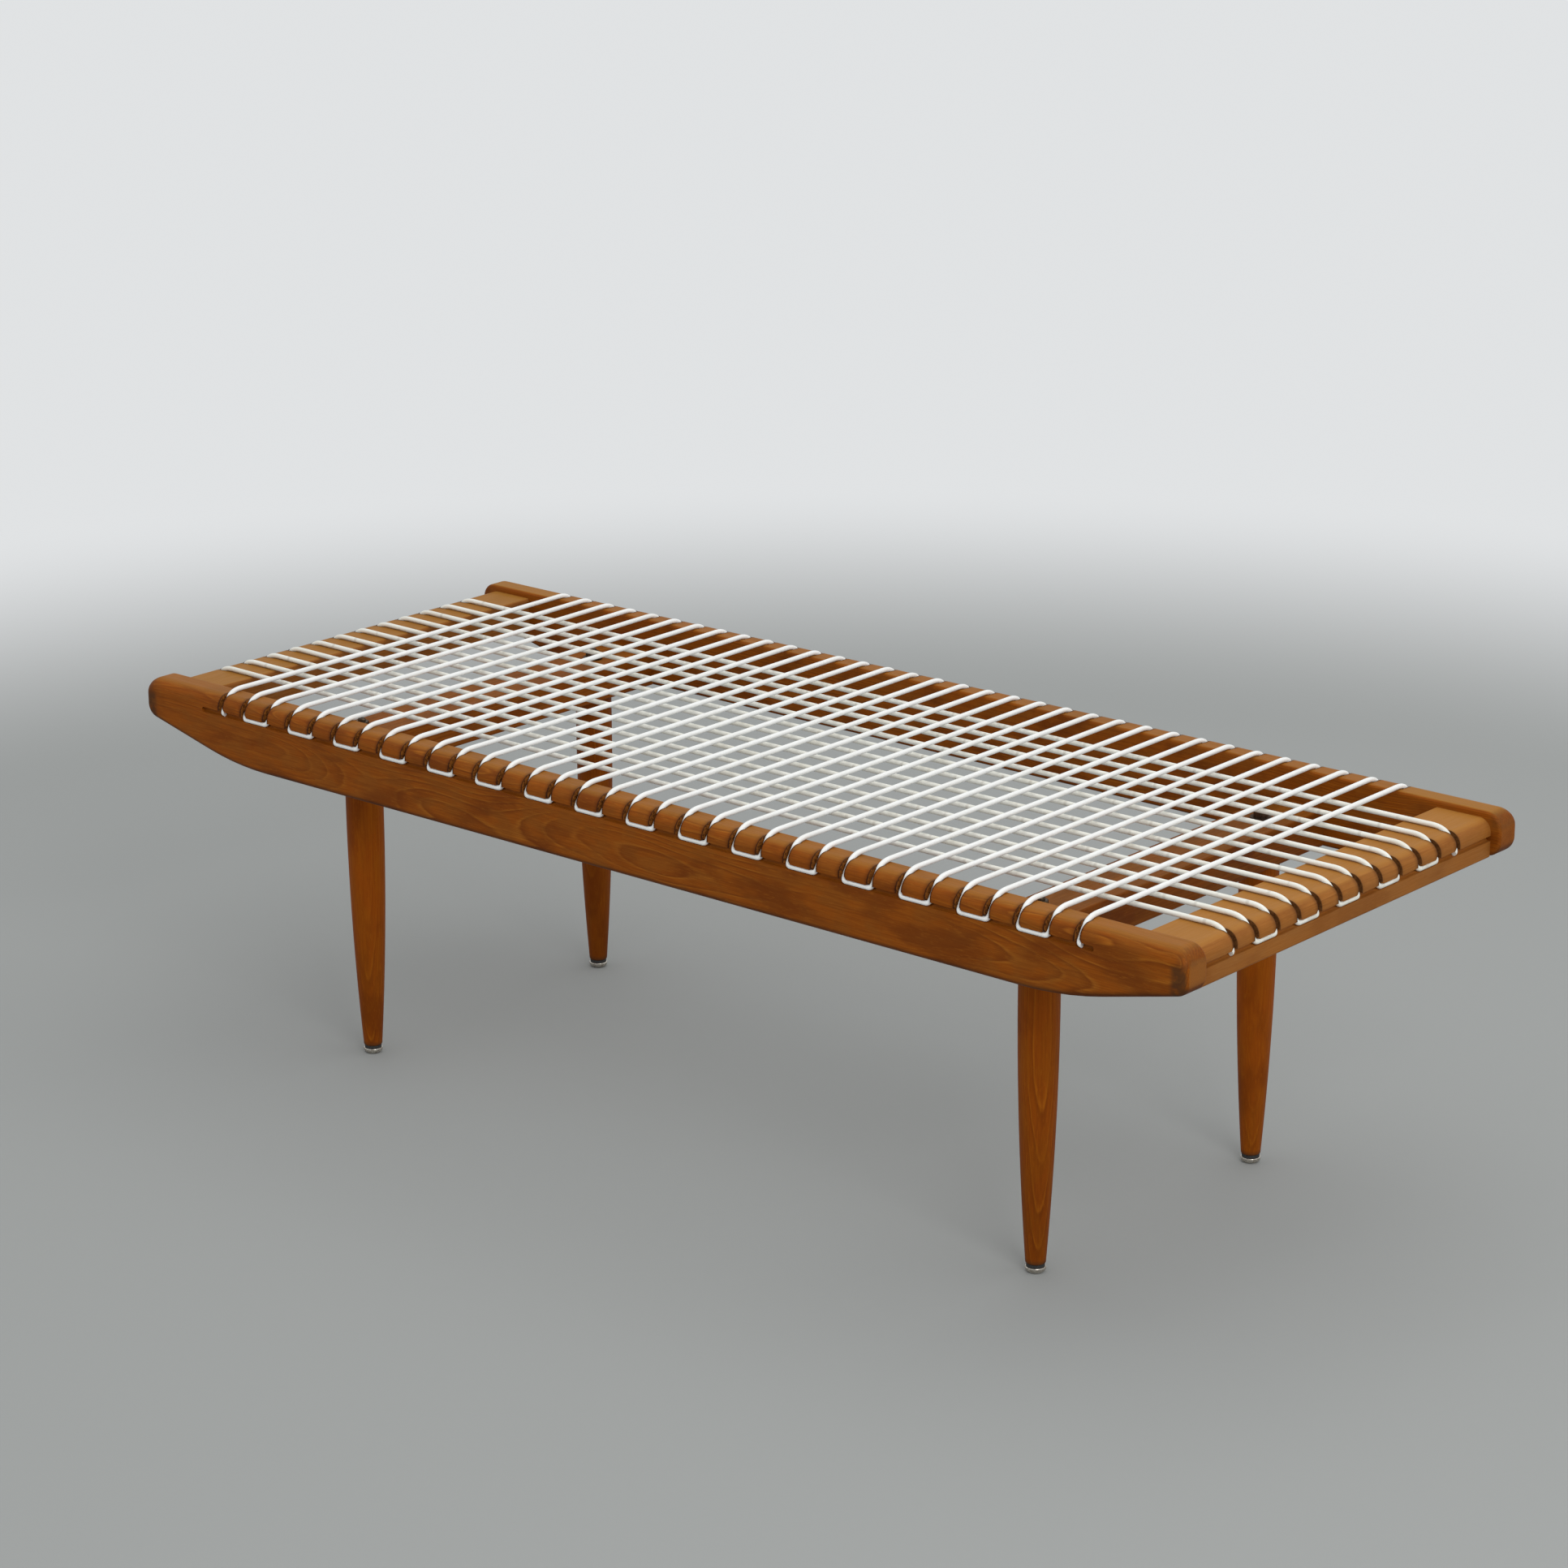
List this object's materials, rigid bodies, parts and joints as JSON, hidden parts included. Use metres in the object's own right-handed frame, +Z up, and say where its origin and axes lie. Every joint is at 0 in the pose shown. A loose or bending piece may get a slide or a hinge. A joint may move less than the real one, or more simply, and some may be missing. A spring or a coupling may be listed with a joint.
{
  "type": "bench",
  "caption": "Long low wooden bench with tapered side rails, round tapered legs on bolted stretchers, and an open seat of white plastic cord laced through sawn kerfs.",
  "frame": {"origin": "on the floor, under the middle of the bench", "axes": "+X along the bench to the right as seen from the front, +Y to the back, +Z up"},
  "size_m": [1.28, 0.512, 0.3789],
  "materials": {
    "rail_wood": "oiled, figured grain along the length",
    "board_wood": "oiled, fine straight grain",
    "leg_wood": "oiled, grain along the leg",
    "dowel_wood": "raw",
    "dark_steel": "darkened",
    "black_rubber": "matt",
    "nickel": "polished, a little worn",
    "white_cord": "satin"
  },
  "bodies": {
    "root": {"side_rail_front": "rail_wood", "side_rail_back": "rail_wood", "end_rail_left": "board_wood", "end_rail_right": "board_wood", "stretcher_left": "board_wood", "stretcher_right": "board_wood", "leg_front_left": "leg_wood", "leg_front_right": "leg_wood", "leg_back_left": "leg_wood", "leg_back_right": "leg_wood", "leg_bolts": "dark_steel", "leg_nuts": "dark_steel", "leg_washers": "dark_steel", "foot_cushion_front_left": "black_rubber", "foot_cushion_front_right": "black_rubber", "foot_cushion_back_left": "black_rubber", "foot_cushion_back_right": "black_rubber", "foot_glide_front_left": "nickel", "foot_glide_front_right": "nickel", "foot_glide_back_left": "nickel", "foot_glide_back_right": "nickel", "end_rail_dowels": "dowel_wood", "stretcher_dowels": "dowel_wood", "crosswise_cord": "white_cord", "lengthwise_cord": "white_cord"}
  },
  "joints": []
}
